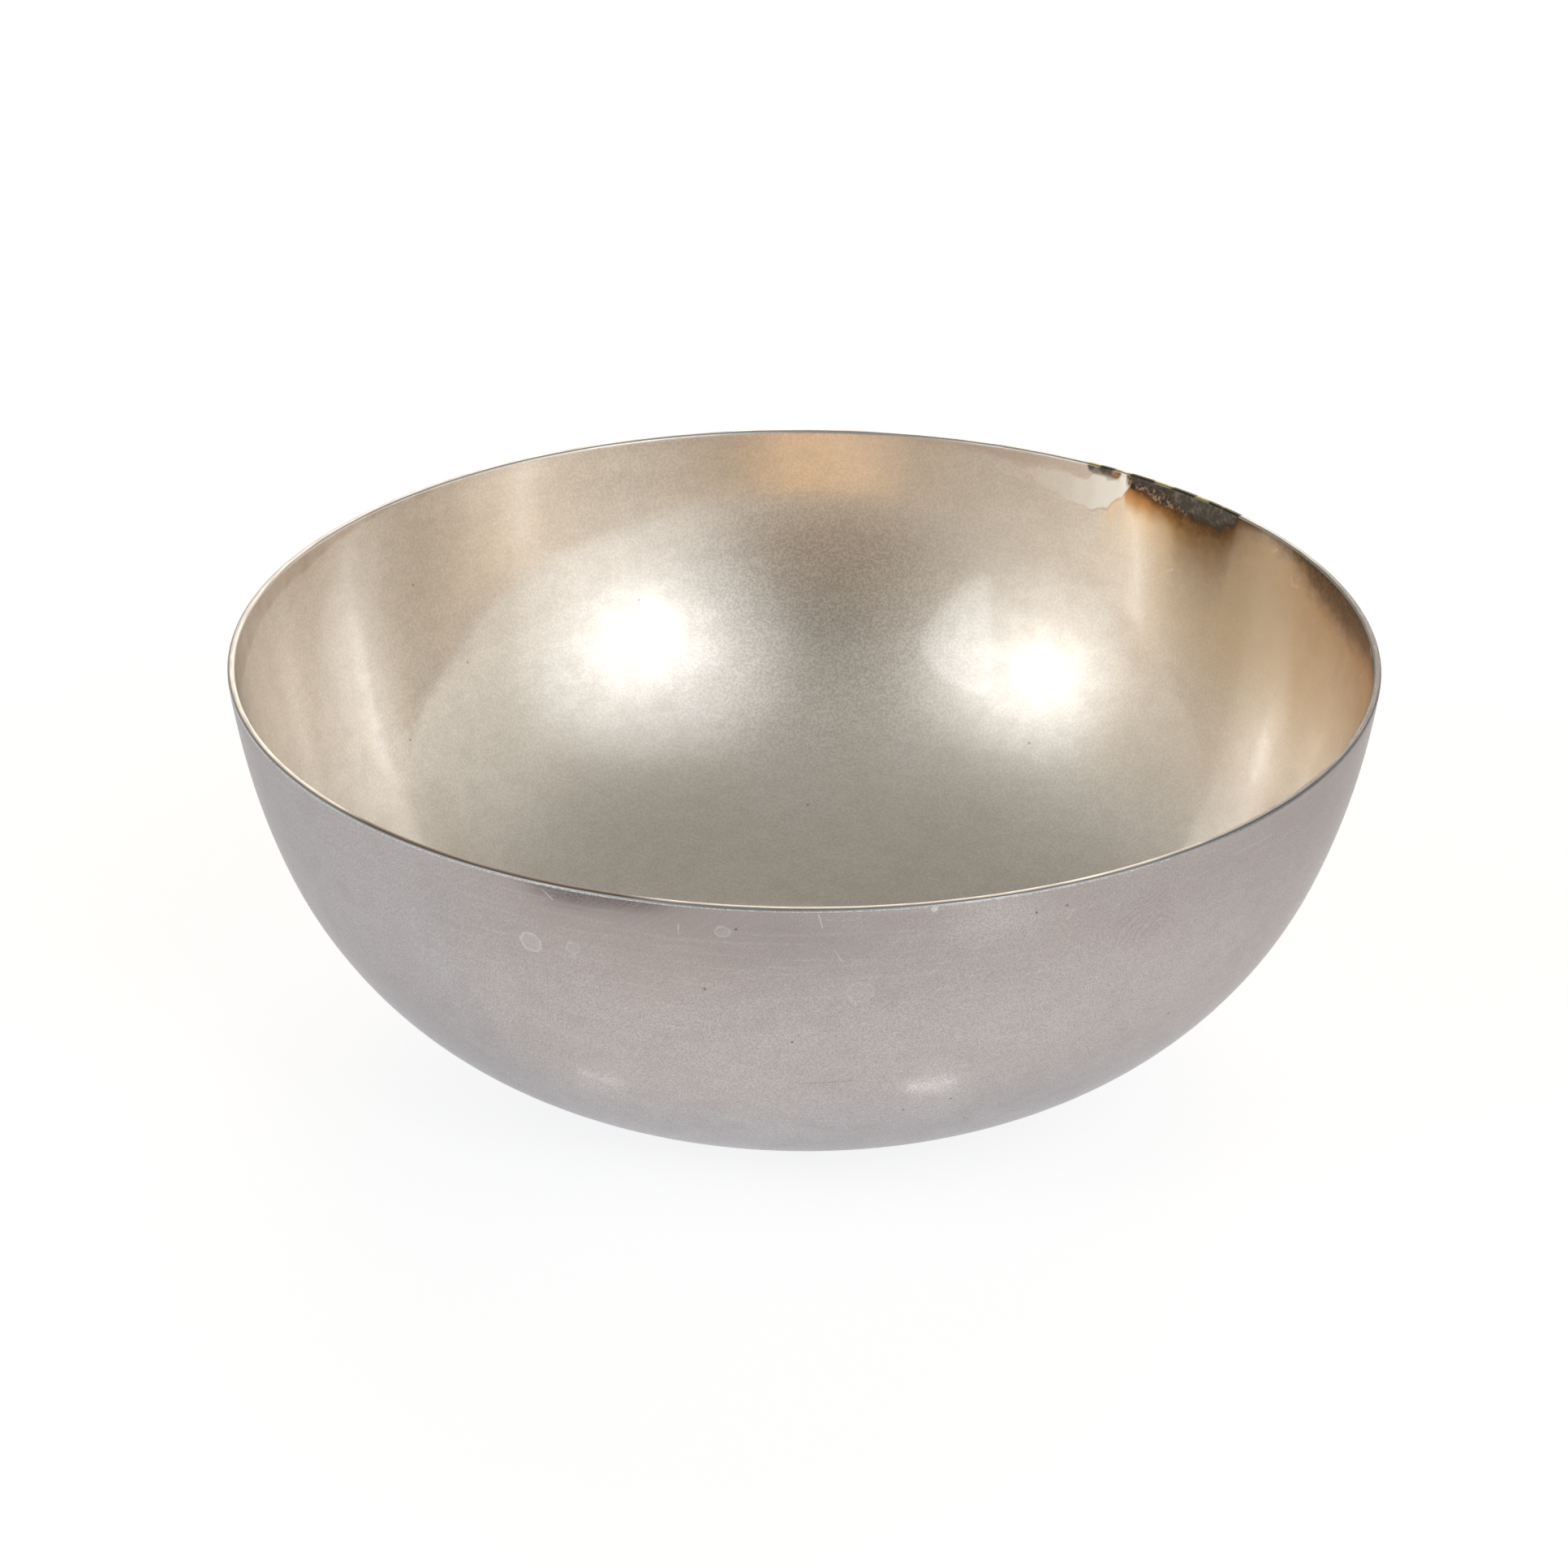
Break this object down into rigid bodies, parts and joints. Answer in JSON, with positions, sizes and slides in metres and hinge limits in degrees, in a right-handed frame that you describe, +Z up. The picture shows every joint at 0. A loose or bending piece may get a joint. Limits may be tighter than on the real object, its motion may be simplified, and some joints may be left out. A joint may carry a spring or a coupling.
{
  "type": "offering bowl",
  "caption": "Small round footless bowl of thin satin silver-plated sheet with a cut rim, tarnished on one side, for holding offerings of water, rice, oil or incense.",
  "frame": {"origin": "middle of the flat base, on the surface that the bowl stands on", "axes": "+Z up along the bowl's axis; +Y towards the back of the bowl, on the side of the scorched rim; +X to the right as seen from the front"},
  "size_m": [0.09, 0.09, 0.0331],
  "materials": {
    "silvered_sheet": "satin silver plate on brass sheet, lightly tarnished, with a dark scorched patch inside the rim"
  },
  "bodies": {
    "root": {"bowl": "silvered_sheet"}
  },
  "joints": []
}
